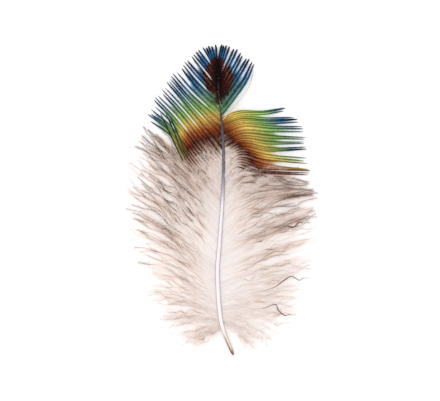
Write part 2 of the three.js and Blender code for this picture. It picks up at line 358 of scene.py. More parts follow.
RIGHT_DOWN_LEADS = (
    LeadBarb(10.2, ((2.0, 12.4), (3.8, 13.4)), (6.6, 13.0), (0.1, 0.28, 0.41)),
    LeadBarb(6.0, ((2.3, 8.6), (4.7, 10.4)), (8.4, 10.0), (0.06, 0.16, 0.4)),
    LeadBarb(3.4, ((2.9, 6.3), (5.9, 8.2)), (10.4, 8.4), (0.04, 0.18, 0.4)),
    LeadBarb(1.2, ((5.4, 5.4), (12.4, 6.6)), (22.0, 5.9), (0.05, 0.28, 0.65)),
    LeadBarb(-3.6, ((5.0, 1.4), (12.2, 3.6)), (23.2, 3.6), (0.04, 0.42, 0.5)),
    LeadBarb(-8.5, ((6.3, -3.4), (14.0, -0.2)), (24.2, 1.6), (0.03, 0.42, 0.5)),
    LeadBarb(-12.4, ((7.0, -8.0), (15.2, -4.6)), (24.6, -2.0), (0.03, 0.38, 0.36)),
    LeadBarb(-16.3, ((7.5, -12.7), (15.9, -9.3)), (24.5, -6.6), (0.03, 0.34, 0.34)),
    LeadBarb(-20.0, ((7.5, -16.8), (15.6, -14.2)), (24.0, -12.0), (0.04, 0.24, 0.15)),
    LeadBarb(-23.3, ((7.5, -21.0), (15.3, -19.4)), (22.9, -17.8), (0.05, 0.22, 0.11)),
    LeadBarb(-26.5, ((7.0, -25.2), (14.3, -24.6)), (20.5, -24.0), (0.06, 0.18, 0.08)),
    LeadBarb(-29.1, ((6.5, -28.5), (12.7, -29.3)), (19.5, -30.1), (0.08, 0.14, 0.07)),
    LeadBarb(-31.1, ((5.7, -32.4), (9.6, -34.5)), (13.5, -36.6), (0.1, 0.13, 0.07)),
    LeadBarb(-32.4, ((3.6, -34.4), (5.8, -36.6)), (8.2, -39.0), (0.12, 0.13, 0.07)),
)


@dataclass
class BarbRows:
    """Barb lines with their values, one row for each barb and one column for each step along it.

    Attributes:
        points: Places in millimetres.
        values: Named values at every point.
    """

    points: Array
    values: dict[str, Array] = field(default_factory=dict)

    @property
    def along(self) -> Array:
        """Place along the barb, from 0 at the root to 1 at the tip."""
        count, steps = self.points.shape[:2]
        return np.broadcast_to(np.linspace(0, 1, steps), (count, steps))

    def sideways(self) -> Array:
        """Level unit vectors across each barb, to the right of its run."""
        run = np.gradient(self.points, axis=1)
        return unit(np.stack([run[..., 1], -run[..., 0], np.zeros(run.shape[:2])], axis=-1))

    def to_mesh(self, name: str) -> bpy.types.Mesh:
        """Write the lines as a mesh of edges that carries the values.

        Args:
            name: The mesh's name.

        Returns:
            The mesh, in metres.
        """
        count, steps = self.points.shape[:2]
        index = np.arange(count * steps).reshape(count, steps)
        edges = np.stack([index[:, :-1], index[:, 1:]], axis=-1).reshape(-1, 2)
        mesh = bpy.data.meshes.new(name)
        mesh.from_pydata(self.points.reshape(-1, 3) * MM, edges.tolist(), [])
        rows = np.broadcast_to(np.arange(count)[:, None], (count, steps))
        carry(mesh, {**self.values, "along": self.along, "row": rows})
        return mesh


class NodeSheet:
    """Short ways to place and link nodes in a tree."""

    def __init__(self, tree: bpy.types.NodeTree) -> None:
        """Keep the tree that nodes are placed in."""
        self.tree = tree

    def add(self, kind: str, settings: dict | None = None, **inputs: object) -> bpy.types.Node:
        """Place a node.

        Args:
            kind: The node's type name.
            settings: Properties of the node.
            inputs: Values or output sockets for its inputs, by socket name with _ for spaces.

        Returns:
            The node.
        """
        node = self.tree.nodes.new(kind)
        for key, value in (settings or {}).items():
            setattr(node, key, value)
        for key, value in inputs.items():
            self.feed(self.socket(node.inputs, key.replace("_", " ")), value)
        return node

    def feed(self, socket: bpy.types.NodeSocket, value: object) -> None:
        """Link an output socket to an input, or set the input's own value.

        Args:
            socket: The input.
            value: A value or an output socket.
        """
        if isinstance(value, bpy.types.NodeSocket):
            self.tree.links.new(value, socket)
        else:
            socket.default_value = value

    @staticmethod
    def socket(sockets: bpy.types.bpy_prop_collection, name: str) -> bpy.types.NodeSocket:
        """Find the first enabled socket of that name."""
        return next(s for s in sockets if s.enabled and s.name == name)

    def math(self, operation: str, first: object, second: object = 0.0) -> bpy.types.NodeSocket:
        """Place a Math node.

        Args:
            operation: What it does.
            first: A number or an output socket.
            second: A number or an output socket.

        Returns:
            Its output.
        """
        node = self.tree.nodes.new("ShaderNodeMath")
        node.operation = operation
        self.feed(node.inputs[0], first)
        self.feed(node.inputs[1], second)
        return node.outputs[0]


class BarbGrower:
    """A Geometry Nodes tree that grows a ramus and two rows of barbules along every barb line."""

    NAME = "Grow barbs"
    SIZES = {
        "Barbule Spacing": 0.1 * MM,
        "Barbule Width": 0.03 * MM,
        "Barbule Angle": math.radians(40),
        "Angle Spread": math.radians(6),
        "Rise": math.radians(4),
        "Rise Spread": math.radians(10),
        "Shortest": 0.8,
        "Longest": 1.1,
        "Floor Gap": 0.02 * MM,
    }
    COUNTS = {"Ramus Sides": 5, "Seed": 1}
    # What is added to the seed for a barbule's lean, rise and length
    LEAN_DRAW = 3
    RISE_DRAW = 13
    LENGTH_DRAW = 23
    # The flat map: the margin at its sides and the shear that keeps faces open, and, over a barb's
    # row, where its barbules start, how far they run and how far its stem spreads
    MAP_MARGIN = 0.01
    MAP_SHEAR = 0.002
    MAP_START = 0.06
    MAP_RUN = 0.4
    MAP_STEM = 0.05
    # Values that only the growing and the map need
    SPENT = ("row", "blade", "side", "girth", "reach_left", "reach_right", "fan")

    def __init__(self) -> None:
        """Build the tree."""
        self.tree = bpy.data.node_groups.new(self.NAME, "GeometryNodeTree")
        self.sheet = NodeSheet(self.tree)
        face = self.tree.interface
        face.new_socket("Geometry", in_out="INPUT", socket_type="NodeSocketGeometry")
        for key, value in self.SIZES.items():
            face.new_socket(key, in_out="INPUT", socket_type="NodeSocketFloat").default_value = value
        for key, value in self.COUNTS.items():
            face.new_socket(key, in_out="INPUT", socket_type="NodeSocketInt").default_value = value
        face.new_socket("Material", in_out="INPUT", socket_type="NodeSocketMaterial")
        face.new_socket("Geometry", in_out="OUTPUT", socket_type="NodeSocketGeometry")
        self.given = self.tree.nodes.new("NodeGroupInput").outputs
        self.build()

    def named(self, key: str) -> bpy.types.NodeSocket:
        """Read a value that the barb lines carry."""
        node = self.sheet.add("GeometryNodeInputNamedAttribute", {"data_type": "FLOAT"}, Name=key)
        return self.sheet.socket(node.outputs, "Attribute")

    def stored(self, geometry: bpy.types.NodeSocket, key: str, value: object,
               domain: str = "POINT") -> bpy.types.NodeSocket:
        """Store a value on a geometry.

        Args:
            geometry: The geometry to store it on.
            key: The value's name.
            value: A number or an output socket.
            domain: Where it is stored.

        Returns:
            The geometry with the value.
        """
        settings = {"data_type": "FLOAT", "domain": domain}
        node = self.sheet.add("GeometryNodeStoreNamedAttribute", settings, Geometry=geometry, Name=key,
                              Value=value)
        return node.outputs[0]

    def spread(self, low: object, high: object, offset: int) -> bpy.types.NodeSocket:
        """Draw a random number for each barbule between two limits.

        Args:
            low: A number or an output socket.
            high: A number or an output socket.
            offset: What is added to the seed.

        Returns:
            The number.
        """
        seed = self.sheet.math("ADD", self.given["Seed"], float(offset))
        node = self.sheet.add("FunctionNodeRandomValue", {"data_type": "FLOAT"}, Min=low, Max=high, Seed=seed)
        return self.sheet.socket(node.outputs, "Value")

    def local_axis(self, axis: int) -> bpy.types.NodeSocket:
        """Read one coordinate of the shape's own points."""
        place = self.sheet.add("GeometryNodeInputPosition").outputs[0]
        return self.sheet.add("ShaderNodeSeparateXYZ", Vector=place).outputs[axis]

    def ramus(self, curve: bpy.types.NodeSocket) -> bpy.types.NodeSocket:
        """Sweep the barb's own stem along its line.

        Args:
            curve: The barb lines.

        Returns:
            The stems.
        """
        ring = self.sheet.add("GeometryNodeCurvePrimitiveCircle", Resolution=self.given["Ramus Sides"],
                              Radius=1.0)
        profile = self.stored(ring.outputs[0], "blade", self.local_axis(0))
        swept = self.sheet.add("GeometryNodeCurveToMesh", Curve=curve, Profile_Curve=profile,
                               Scale=self.named("girth"), Fill_Caps=True)
        return swept.outputs[0]

    def barbule(self) -> bpy.types.NodeSocket:
        """Make one slender barbule of unit length that stands along its own Z."""
        spike = self.sheet.add("GeometryNodeMeshCone", Vertices=3, Side_Segments=1, Fill_Segments=1,
                               Radius_Top=0.0, Radius_Bottom=1.0, Depth=1.0).outputs[0]
        spike = self.stored(spike, "out", self.local_axis(2))
        return self.stored(spike, "blade", self.local_axis(0))

    def row(self, points: bpy.types.Node, spike: bpy.types.NodeSocket, side: int) -> bpy.types.NodeSocket:
        """Set one row of barbules along the lines.

        Args:
            points: The node that spreads points along the lines.
            spike: One barbule.
            side: 1 for the right of the line and -1 for the left.

        Returns:
            The row as instances.
        """
        sheet, given = self.sheet, self.given
        half = sheet.math("MULTIPLY", given["Angle Spread"], 0.5)
        lean = sheet.math("MULTIPLY", given["Barbule Angle"], self.named("fan"))
        turned_back = sheet.math("MULTIPLY", half, -1.0)
        angle = sheet.math("ADD", lean, self.spread(turned_back, half, self.LEAN_DRAW + side))
        rise_low = sheet.math("SUBTRACT", given["Rise"], given["Rise Spread"])
        rise_high = sheet.math("ADD", given["Rise"], given["Rise Spread"])
        rise = sheet.math("MULTIPLY", self.spread(rise_low, rise_high, self.RISE_DRAW + side), -1.0)
        turn = sheet.add("ShaderNodeCombineXYZ", X=rise, Y=sheet.math("MULTIPLY", angle, float(side)))
        local = sheet.add("FunctionNodeEulerToRotation", Euler=turn.outputs[0])
        turned = sheet.add("FunctionNodeRotateRotation", {"rotation_space": "LOCAL"},
                           Rotation=points.outputs["Rotation"], Rotate_By=local.outputs[0])
        length = sheet.math("MULTIPLY", self.named("reach_right" if side > 0 else "reach_left"),
                            self.spread(given["Shortest"], given["Longest"], self.LENGTH_DRAW + side))
        size = sheet.add("ShaderNodeCombineXYZ", X=given["Barbule Width"], Y=given["Barbule Width"], Z=length)
        placed = sheet.add("GeometryNodeInstanceOnPoints", Points=points.outputs["Points"], Instance=spike,
                           Rotation=turned.outputs[0], Scale=size.outputs[0])
        return self.stored(placed.outputs[0], "side", float(side), "INSTANCE")

    def build(self) -> None:
        """Link the whole tree."""
        sheet, given = self.sheet, self.given
        lines = sheet.add("GeometryNodeMeshToCurve", Mesh=given["Geometry"]).outputs[0]
        curve = sheet.add("GeometryNodeSetCurveNormal", {"mode": "Z_UP"}, Curve=lines).outputs[0]
        points = sheet.add("GeometryNodeCurveToPoints", {"mode": "LENGTH"}, Curve=curve,
                           Length=given["Barbule Spacing"])
        spike = self.barbule()
        joined = sheet.add("GeometryNodeJoinGeometry")
        for part in (self.ramus(curve), self.row(points, spike, 1), self.row(points, spike, -1)):
            self.tree.links.new(part, joined.inputs[0])
        real = sheet.add("GeometryNodeRealizeInstances", Geometry=joined.outputs[0]).outputs[0]
        place = sheet.add("ShaderNodeSeparateXYZ", Vector=sheet.add("GeometryNodeInputPosition").outputs[0])
        height = sheet.math("MAXIMUM", place.outputs[2], given["Floor Gap"])
        kept = sheet.add("ShaderNodeCombineXYZ", X=place.outputs[0], Y=place.outputs[1], Z=height)
        raised = sheet.add("GeometryNodeSetPosition", Geometry=real, Position=kept.outputs[0]).outputs[0]
        dressed = sheet.add("GeometryNodeSetMaterial", Geometry=raised, Material=given["Material"]).outputs[0]
        end = self.tree.nodes.new("NodeGroupOutput")
        self.tree.links.new(dressed, end.inputs[0])

    def grow(self, name: str, rows: BarbRows, material: bpy.types.Material,
             sizes: dict[str, float]) -> bpy.types.Object:
        """Grow barbs along lines and turn the result into a plain mesh.

        Args:
            name: The piece's name.
            rows: The barb lines.
            material: The barbs' material.
            sizes: Values for the tree's named inputs.

        Returns:
            The finished piece.
        """
        source = place_object(name + "_lines", rows.to_mesh(name + "_lines"))
        modifier = source.modifiers.new(self.NAME, "NODES")
        modifier.node_group = self.tree
        for item in self.tree.interface.items_tree:
            if item.in_out == "INPUT" and item.name in sizes:
                modifier[item.identifier] = sizes[item.name]
            if item.in_out == "INPUT" and item.name == "Material":
                modifier[item.identifier] = material
        graph = bpy.context.evaluated_depsgraph_get()
        mesh = bpy.data.meshes.new_from_object(source.evaluated_get(graph))
        source.modifiers.clear()
        bpy.data.meshes.remove(source.data)
        mesh.name = name
        piece = place_object(name, mesh)
        self.lay_out(mesh, len(rows.points))
        return piece

    @staticmethod
    def carried(mesh: bpy.types.Mesh, key: str) -> Array:
        """Read a value that the grown barbs carry.

        Args:
            mesh: The grown barbs.
            key: The value's name.

        Returns:
            One number for each point.
        """
        values = np.zeros(len(mesh.vertices), dtype=np.float32)
        mesh.attributes[key].data.foreach_get("value", values)
        return values

    def lay_out(self, mesh: bpy.types.Mesh, rows: int) -> None:
        """Give each barb a row of its own in a flat map.

        A barb runs to the right along its row, and its barbules run up or down from it.

        Args:
            mesh: The grown barbs.
            rows: The number of barbs.
        """
        keys = ("along", "row", "blade", "side", "out")
        along, row, blade, side, out = (self.carried(mesh, key) for key in keys)
        u = self.MAP_MARGIN + (1 - 2 * self.MAP_MARGIN) * np.clip(along + self.MAP_SHEAR * blade, 0, 1)
        across = side * (self.MAP_START + self.MAP_RUN * out) + self.MAP_STEM * blade * (side == 0)
        v = (row + 0.5 + across) / rows
        corner = np.zeros(len(mesh.loops), dtype=np.int32)
        mesh.loops.foreach_get("vertex_index", corner)
        layer = mesh.uv_layers.new(name=BAKE_MAP)
        layer.uv.foreach_set("vector", np.column_stack([u, v])[corner].astype(np.float32).ravel())
        for key in self.SPENT:
            mesh.attributes.remove(mesh.attributes[key])


class BarbWash:
    """A shader node group that varies a barb's colour by strand, along its barbules and by fine grain."""

    NAME = "Barb wash"
    # Fringe darkens stems in their own colour and lightens barbule tips as a painted highlight
    SHARES = ("Strand", "Fringe", "Grain")
    GRAIN_SCALE = 2500.0
    GRAIN_DETAIL = 2.0
    # Values that leave the colour as it is
    PLAIN_TONE = 0.5
    PLAIN_OUT = 0.3
    PLAIN_GRAIN = 0.5

    def __init__(self) -> None:
        """Build the group."""
        self.tree = bpy.data.node_groups.new(self.NAME, "ShaderNodeTree")
        face = self.tree.interface
        face.new_socket("Colour", in_out="INPUT", socket_type="NodeSocketColor")
        for key in self.SHARES:
            face.new_socket(key, in_out="INPUT", socket_type="NodeSocketFloat")
        face.new_socket("Colour", in_out="OUTPUT", socket_type="NodeSocketColor")
        self.build()

    def build(self) -> None:
        """Link the group."""
        sheet = NodeSheet(self.tree)
        given = self.tree.nodes.new("NodeGroupInput").outputs
        tone = sheet.add("ShaderNodeAttribute", {"attribute_name": "tone"}).outputs["Fac"]
        out = sheet.add("ShaderNodeAttribute", {"attribute_name": "out"}).outputs["Fac"]
        place = sheet.add("ShaderNodeTexCoord").outputs["Object"]
        noise = sheet.add("ShaderNodeTexNoise", Vector=place, Scale=self.GRAIN_SCALE, Detail=self.GRAIN_DETAIL)
        grain = noise.outputs["Fac"]
        strand = sheet.math("MULTIPLY", sheet.math("SUBTRACT", tone, self.PLAIN_TONE), given["Strand"])
        # stems darker in their own colour; barbule tips lighter, a painted highlight for the glints between
        # barbs
        stem_and_tip_highlight = sheet.math("MULTIPLY", sheet.math("SUBTRACT", out, self.PLAIN_OUT), given["Fringe"])
        speck = sheet.math("MULTIPLY", sheet.math("SUBTRACT", grain, self.PLAIN_GRAIN), given["Grain"])
        value = sheet.math("ADD", sheet.math("ADD", strand, stem_and_tip_highlight), sheet.math("ADD", speck, 1.0))
        shaded = sheet.add("ShaderNodeHueSaturation", Color=given["Colour"], Value=value)
        end = self.tree.nodes.new("NodeGroupOutput")
        self.tree.links.new(shaded.outputs[0], end.inputs["Colour"])


@dataclass(frozen=True)
class Finish:
    """Shared values and steps of the finishes.

    Attributes:
        roughness: Roughness of the shader.
        specular: Specular level of the shader.
    """

    roughness: float = 0.5
    specular: float = 0.5

    def start(self, name: str) -> tuple[bpy.types.Material, NodeSheet, bpy.types.Node]:
        """Start a material.

        Args:
            name: The material's name.

        Returns:
            The material, its node sheet and its shader node.
        """
        material = bpy.data.materials.new(name)
        material.use_nodes = True
        tree = material.node_tree
        shader = tree.nodes["Principled BSDF"]
        shader.inputs["Roughness"].default_value = self.roughness
        shader.inputs["Specular IOR Level"].default_value = self.specular
        return material, NodeSheet(tree), shader

    @staticmethod
    def step(sheet: NodeSheet, value: bpy.types.NodeSocket, low: float, high: float) -> bpy.types.NodeSocket:
        """Rise smoothly from 0 to 1 as a value passes from low to high."""
        node = sheet.add("ShaderNodeMapRange", {"interpolation_type": "SMOOTHSTEP"}, Value=value,
                         From_Min=low, From_Max=high)
        return node.outputs["Result"]

    @staticmethod
    def mix(sheet: NodeSheet, share: bpy.types.NodeSocket, first: bpy.types.NodeSocket,
            second: object) -> bpy.types.NodeSocket:
        """Blend two colours by a share. The second may be a plain colour."""
        node = sheet.add("ShaderNodeMix", {"data_type": "RGBA"}, Factor=share, A=first, B=second)
        return sheet.socket(node.outputs, "Result")

    @staticmethod
    def ramp(sheet: NodeSheet, value: bpy.types.NodeSocket,
             stops: Sequence[tuple[float, str]]) -> bpy.types.NodeSocket:
        """Turn a value into a colour by stops.

        Args:
            sheet: The material's node sheet.
            value: The value that is read.
            stops: Places from 0 to 1 with their hex colours, in order.

        Returns:
            The colour.
        """
        node = sheet.add("ShaderNodeValToRGB", Fac=value)
        elements = node.color_ramp.elements
        while len(elements) < len(stops):
            elements.new(0.5)
        for element, (place, code) in zip(elements, stops):
            element.position = place
            element.color = linear_colour(code)
        return node.outputs["Color"]

    @staticmethod
    def read(sheet: NodeSheet, key: str) -> bpy.types.NodeSocket:
        """Read a value that the piece's mesh carries."""
        return sheet.add("ShaderNodeAttribute", {"attribute_name": key}).outputs["Fac"]


@dataclass(frozen=True)
class BarbFinish(Finish):
    """A finish of barbs, whose lightness varies.

    Attributes:
        strand: How much the lightness varies from barb to barb.
        stem_and_tip_highlight: How much it varies along the barbules: stems darker in their own colour,
            barbule tips lighter as a painted highlight.
        grain: How much it varies by fine grain.
    """

    strand: float = 0.3
    stem_and_tip_highlight: float = 0.2
    grain: float = 0.15

    def wash(self, sheet: NodeSheet, wash: BarbWash, colour: bpy.types.NodeSocket) -> bpy.types.NodeSocket:
        """Place the barb wash over a colour and give the varied colour."""
        node = sheet.add("ShaderNodeGroup", {"node_tree": wash.tree}, Colour=colour, Strand=self.strand,
                         Fringe=self.stem_and_tip_highlight, Grain=self.grain)
        return node.outputs["Colour"]


@dataclass(frozen=True)
class IridescentFinish(BarbFinish):
    """The glossy coloured barbs of the tip, with the dark eye.

    Attributes:
        gloss: How metallic the coloured part is.
        gloss_from: Shade at which the gloss sets in.
        gloss_to: Shade at which it is full.
        tip_from: Place along a barb at which its tip darkens.
        tip_share: How much the stem darkens at the tip.
        tip_web: How much the barbules darken there, over the stem.
        tip_colour: The colour that it darkens to.
        web_from: Place out along a barbule at which it has its own colour.
        eye_edge: Depth in the eye at which its colour is full.
        eye_stem: Colours of the stems in the eye, from its edge to its middle.
        eye_web: Colours of the barbules there.
    """

    roughness: float = 0.5
    specular: float = 0.08
    gloss: float = 0.2
    gloss_from: float = 0.2
    gloss_to: float = 0.55
    tip_from: float = 0.6
    tip_share: float = 0.75
    tip_web: float = 0.6
    tip_colour: str = "#0a1018"
    web_from: float = 0.6
    eye_edge: float = 0.2
    eye_stem: tuple[tuple[float, str], ...] = (
        (0.0, "#0a0d14"), (0.2, "#1c0a07"), (0.45, "#36120b"), (0.7, "#200b07"), (0.9, "#080303"),
    )
    eye_web: tuple[tuple[float, str], ...] = (
        (0.0, "#0e1420"), (0.2, "#2a0e09"), (0.45, "#5e2011"), (0.7, "#3a130c"), (0.9, "#0d0504"),
    )
    strand: float = 0.45
    stem_and_tip_highlight: float = 0.2
    grain: float = 0.3

    def material(self, wash: BarbWash) -> bpy.types.Material:
        """Make the material.

        Args:
            wash: The shared barb wash.

        Returns:
            The material.
        """
        material, sheet, shader = self.start("iridescent_barbs")
        shade = self.read(sheet, "shade")
        eye = self.read(sheet, "eye")
        inside = self.step(sheet, eye, 0.0, self.eye_edge)
        layers = []
        for part, spot in enumerate((self.eye_stem, self.eye_web)):
            stops = [(i / (len(Tone) - 1), tone.value[part]) for i, tone in enumerate(Tone)]
            plain = self.ramp(sheet, shade, stops)
            layers.append(self.mix(sheet, inside, plain, self.ramp(sheet, eye, spot)))
        stem, web = layers
        dark = linear_colour(self.tip_colour)
        at_tip = self.step(sheet, self.read(sheet, "along"), self.tip_from, 1.0)
        tip = sheet.math("MULTIPLY", at_tip, self.tip_share)
        stem = self.mix(sheet, tip, stem, dark)
        web = self.mix(sheet, sheet.math("MULTIPLY", tip, self.tip_web), web, dark)
        colour = self.mix(sheet, self.step(sheet, self.read(sheet, "out"), 0.0, self.web_from), stem, web)
        sheet.feed(shader.inputs["Base Color"], self.wash(sheet, wash, colour))
        gloss = sheet.add("ShaderNodeMapRange", Value=shade, From_Min=self.gloss_from, From_Max=self.gloss_to,
                          To_Max=self.gloss)
        bright = sheet.math("MULTIPLY", gloss.outputs["Result"], sheet.math("SUBTRACT", 1.0, inside))
        sheet.feed(shader.inputs["Metallic"], bright)
        return material


@dataclass(frozen=True)
class DownFinish(BarbFinish):
    """The matt, pale, loose barbs of the lower part.

    Attributes:
        stem: How much darker every stem is than its barbules.
        stem_depth: How much darker still, over the barb's own shade.
        stem_edge: Place out along a barbule at which the stem's colour has gone.
        fluff_depth: The barbules' darkness over the barb's own shade.
        stops: Colours from light to dark.
    """

    roughness: float = 0.8
    specular: float = 0.05
    stem: float = 0.08
    stem_depth: float = 0.6
    stem_edge: float = 0.3
    fluff_depth: float = 0.76
    strand: float = 0.12
    stem_and_tip_highlight: float = 0.06
    grain: float = 0.08
    stops: tuple[tuple[float, str], ...] = (
        (0.0, "#fffaf8"), (0.18, "#faede7"), (0.4, "#e0c4b3"), (0.65, "#a67f68"), (1.0, "#553422"),
    )

    def material(self, wash: BarbWash) -> bpy.types.Material:
        """Make the material.

        Args:
            wash: The shared barb wash.

        Returns:
            The material.
        """
        material, sheet, shader = self.start("downy_barbs")
        stem = sheet.math("SUBTRACT", 1.0, self.step(sheet, self.read(sheet, "out"), 0.0, self.stem_edge))
        depth = sheet.math("ADD", self.fluff_depth, sheet.math("MULTIPLY", stem, self.stem_depth))
        shade = sheet.math("MULTIPLY", self.read(sheet, "shade"), depth)
        shade = sheet.math("ADD", shade, sheet.math("MULTIPLY", stem, self.stem))
        colour = self.ramp(sheet, shade, self.stops)
        sheet.feed(shader.inputs["Base Color"], self.wash(sheet, wash, colour))
        return material


@dataclass(frozen=True)
class HornFinish(Finish):
    """The shaft's horn: brown at the quill's end, ivory along the middle and slate at the tip.

    Attributes:
        painted_shade_flank: Places across the shaft where the painted shade on the quill's left side sets in
            and is full.
        painted_shade_along: Places along the shaft where that painted shade sets in and is full.
        edge: Places across the shaft, from its middle, where the painted shade along both edges sets in and is
            full.
        streak_scale: Fineness of the streaks along X, Y and Z.
        streak_detail: Detail of the streaks.
        streak_share: How much the streaks vary the lightness.
        bump: Strength of the streaks' relief.
        bump_depth: Depth of that relief.
        stops: Colours along the shaft from quill to tip.
        painted_shade_stops: Colours of the painted shade on the left of the quill, which darkens it to tan.
        painted_edge_shade_stops: Colours of the painted shade along both edges.
    """

    roughness: float = 0.38
    specular: float = 0.5
    painted_shade_flank: tuple[float, float] = (0.25, -0.35)
    painted_shade_along: tuple[float, float] = (0.11, 0.06)
    edge: tuple[float, float] = (0.45, 0.95)
    streak_scale: tuple[float, float, float] = (9000.0, 260.0, 9000.0)
    streak_detail: float = 3.0
    streak_share: float = 0.2
    bump: float = 0.2
    bump_depth: float = 0.02 * MM
    stops: tuple[tuple[float, str], ...] = (
        (0.0, "#4a3021"), (0.012, "#9c765c"), (0.03, "#ecdcd2"), (0.12, "#f3ebea"), (0.5, "#e6dfe2"),
        (0.55, "#a8a3ac"), (0.58, "#87818f"), (0.61, "#65616e"), (0.7, "#4e4b57"), (0.76, "#42323a"),
        (0.88, "#2a1715"), (1.0, "#140b0b"),
    )
    painted_shade_stops: tuple[tuple[float, str], ...] = (
        (0.0, "#4a3021"), (0.02, "#7a573f"), (0.05, "#b18a6c"), (0.08, "#d3b49d"), (0.11, "#eadbd3"),
    )
    painted_edge_shade_stops: tuple[tuple[float, str], ...] = (
        (0.0, "#3c2417"), (0.04, "#7a5236"), (0.1, "#a89488"), (0.2, "#8f8d99"), (0.45, "#7b7c8e"),
        (0.65, "#4a4a5e"), (0.8, "#2c1a1e"), (1.0, "#0c0606"),
    )

    def material(self) -> bpy.types.Material:
        """Make the material.

        Returns:
            The material.
        """
        material, sheet, shader = self.start("horn")
        along = self.read(sheet, "along")
        flank = self.read(sheet, "flank")
        colour = self.ramp(sheet, along, self.stops)
        # painted shade: the quill's left side darkens to tan towards its end
        painted_left_shade = sheet.math("MULTIPLY", self.step(sheet, flank, *self.painted_shade_flank),
                         self.step(sheet, along, *self.painted_shade_along))
        colour = self.mix(sheet, painted_left_shade, colour, self.ramp(sheet, along, self.painted_shade_stops))
        place = sheet.add("ShaderNodeTexCoord").outputs["Object"]
        drawn = sheet.add("ShaderNodeMapping", Vector=place, Scale=self.streak_scale).outputs[0]
        noise = sheet.add("ShaderNodeTexNoise", Vector=drawn, Scale=1.0, Detail=self.streak_detail)
        streak = noise.outputs["Fac"]
        # painted shade: both edges of the round shaft are darkened, as where it turns away from the light
        edge = self.step(sheet, sheet.math("ABSOLUTE", flank), *self.edge)
        colour = self.mix(sheet, edge, colour, self.ramp(sheet, along, self.painted_edge_shade_stops))
        varied = sheet.math("MULTIPLY", sheet.math("SUBTRACT", streak, 0.5), self.streak_share)
        value = sheet.math("ADD", 1.0, varied)
        shaded = sheet.add("ShaderNodeHueSaturation", Color=colour, Value=value)
        sheet.feed(shader.inputs["Base Color"], shaded.outputs[0])
        bump = sheet.add("ShaderNodeBump", Strength=self.bump, Distance=self.bump_depth, Height=streak)
        sheet.feed(shader.inputs["Normal"], bump.outputs[0])
        return material


@dataclass
class BarbField:
    """A side of the feather that is made of barbs.

    Attributes:
        name: The piece's name.
        node: The solid that it stands for.
        slot: Its material slot.
        leads: Its leading barbs, in order.
        count: Number of barbs.
        seed: Fixes every random draw.
        steps: Points along a barb.
        tip_height: Height of the tips.
        crown: How much the barbs' middle rises.
        sizes: Values for the grower's inputs.
    """

    name: str
    node: str
    slot: Slot
    leads: tuple[LeadBarb, ...]
    count: int
    seed: int
    steps: int
    tip_height: float
    crown: float
    sizes: dict[str, float]

    def control_at(self, places: Array) -> Array:
        """Blend the leading barbs' control points at places among them.

        Args:
            places: Numbers from 0 to the last lead's index.

        Returns:
            One block of control points for each place.
        """
        control = np.stack([lead.control(self.tip_height, self.crown) for lead in self.leads])
        index = np.arange(len(self.leads))
        flat = control.reshape(len(self.leads), -1)
        columns = [np.interp(places, index, flat[:, k]) for k in range(flat.shape[1])]
        return np.stack(columns, axis=-1).reshape(len(places), *control.shape[1:])

    def shades_at(self, places: Array) -> Array:
        """Blend the leading barbs' shades at places among them."""
        shades = np.array([lead.shades for lead in self.leads])
        index = np.arange(len(self.leads))
        return np.stack([np.interp(places, index, column) for column in shades.T], axis=-1)

    def lines_through(self, control: Array) -> Array:
        """Run a smooth line through each block of control points."""
        return np.stack([smooth_line(block, self.steps) for block in control])

    def rows(self) -> BarbRows:
        """Lay the barb lines. Each kind of side has its own way."""
        raise NotImplementedError

    def build(self, grower: BarbGrower, material: bpy.types.Material) -> bpy.types.Object:
        """Grow the piece and set it in the frame.

        Args:
            grower: The tree that grows barbs along lines.
            material: The barbs' material.

        Returns:
            The finished piece.
        """
        piece = grower.grow(self.name, self.rows(), material, {**self.sizes, "Seed": self.seed})
        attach(piece, BODY)
        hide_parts(self.node)
        return piece


